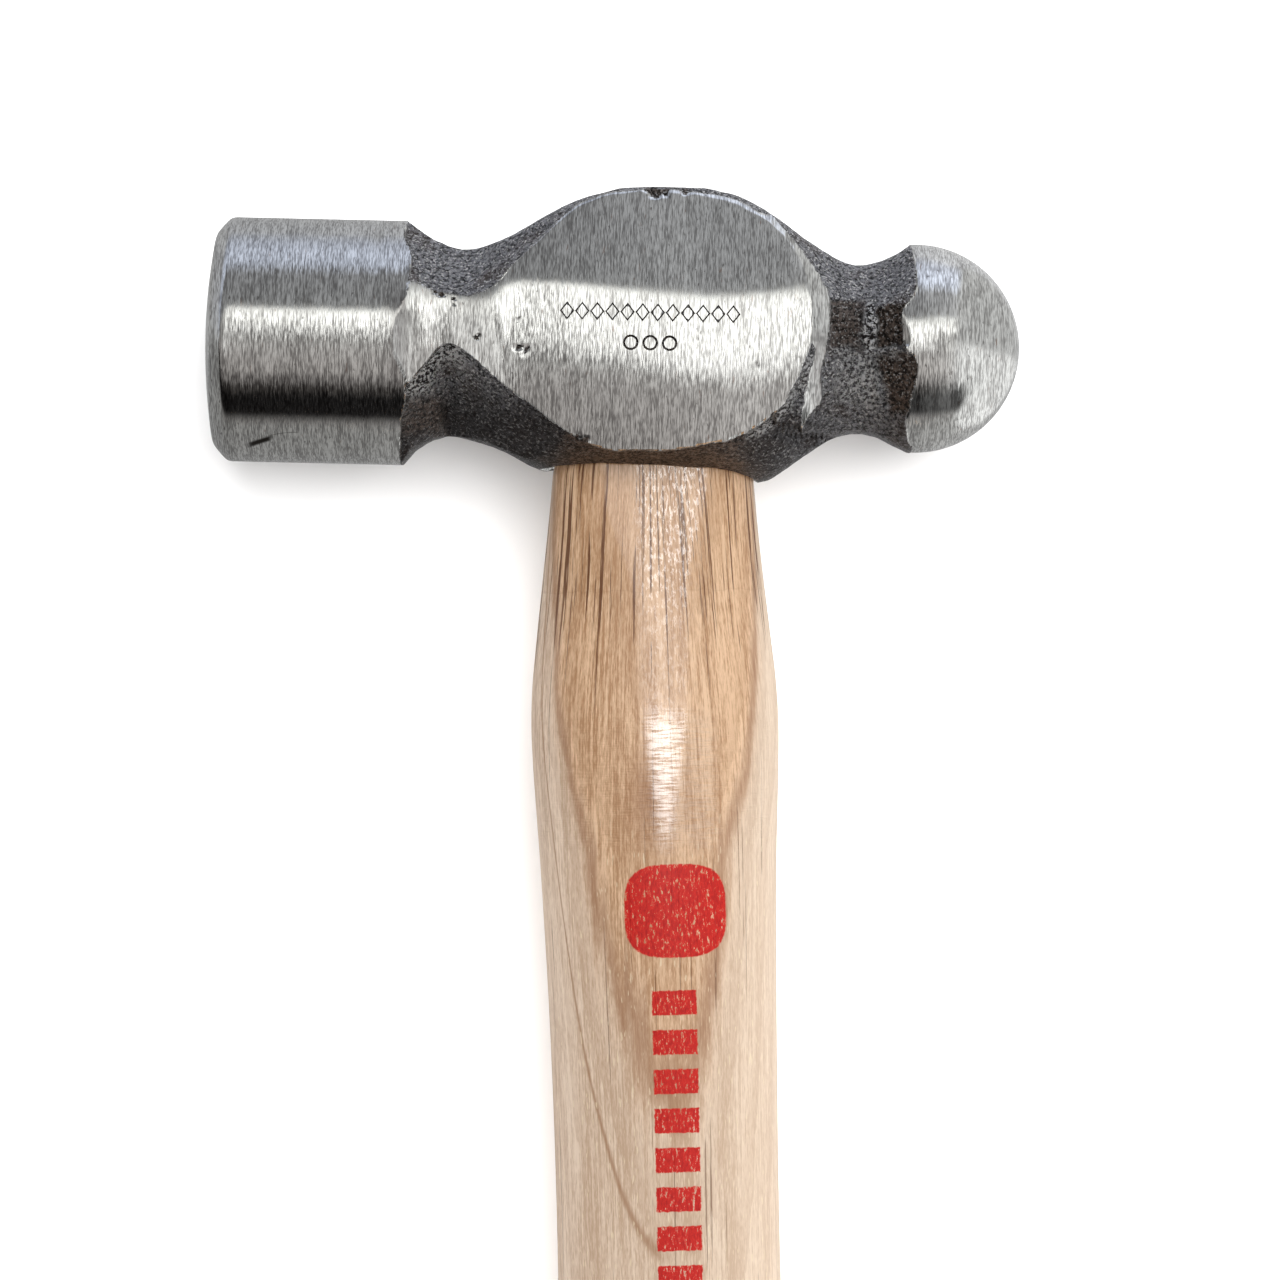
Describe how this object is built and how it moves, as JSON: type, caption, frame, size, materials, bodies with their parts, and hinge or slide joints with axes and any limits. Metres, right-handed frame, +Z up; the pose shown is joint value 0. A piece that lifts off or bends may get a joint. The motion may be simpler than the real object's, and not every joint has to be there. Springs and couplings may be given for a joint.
{
  "type": "ball-pein hammer",
  "caption": "Small ball-pein hammer: forged and ground steel head on a wedged, lacquered hickory handle, lying on its side.",
  "frame": {"origin": "on the surface the hammer lies on, below the middle of its overall box", "axes": "+X along the head from the striking face to the ball, +Y from the butt of the handle to the head, +Z up off the surface"},
  "size_m": [0.0812, 0.3051, 0.0252],
  "materials": {
    "head_steel": "ground bright on the poll, cheeks and ball, rough forged on the necks",
    "hickory": "clear lacquer",
    "wedge_wood": "sawn",
    "wedge_steel": "plain mill finish"
  },
  "bodies": {
    "root": {"head": "head_steel", "handle": "hickory", "wood_wedge": "wedge_wood", "steel_wedge_face": "wedge_steel", "steel_wedge_ball": "wedge_steel"}
  },
  "joints": []
}
